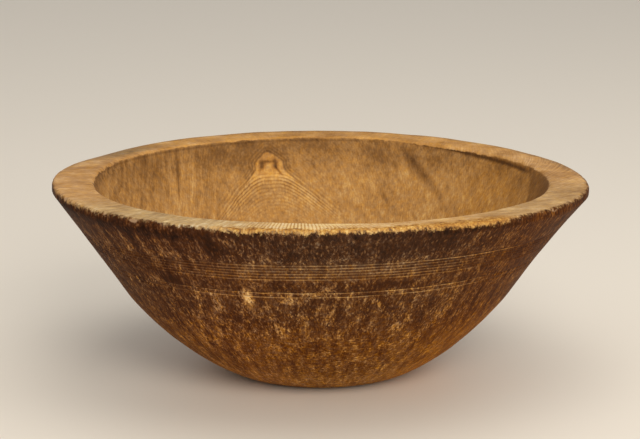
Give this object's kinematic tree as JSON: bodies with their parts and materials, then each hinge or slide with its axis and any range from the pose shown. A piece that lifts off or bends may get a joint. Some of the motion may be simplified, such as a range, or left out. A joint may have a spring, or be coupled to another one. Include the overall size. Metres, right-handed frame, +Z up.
{
  "type": "carved wooden bowl",
  "caption": "Wide round bowl carved from one block of dark wood, with a flared wall, a broad flat rim, bands of incised lines round the outside and a flat foot.",
  "frame": {"origin": "middle of the flat foot, on the surface the bowl stands on", "axes": "+Z up through the mouth of the bowl; -Y towards the side that the picture shows, +X to that side's right"},
  "size_m": [0.402, 0.3982, 0.149],
  "materials": {
    "dark_wood": "hand-rubbed dark patina outside, worn golden brown on the rim and inside"
  },
  "bodies": {
    "root": {"carved_bowl": "dark_wood"}
  },
  "joints": []
}
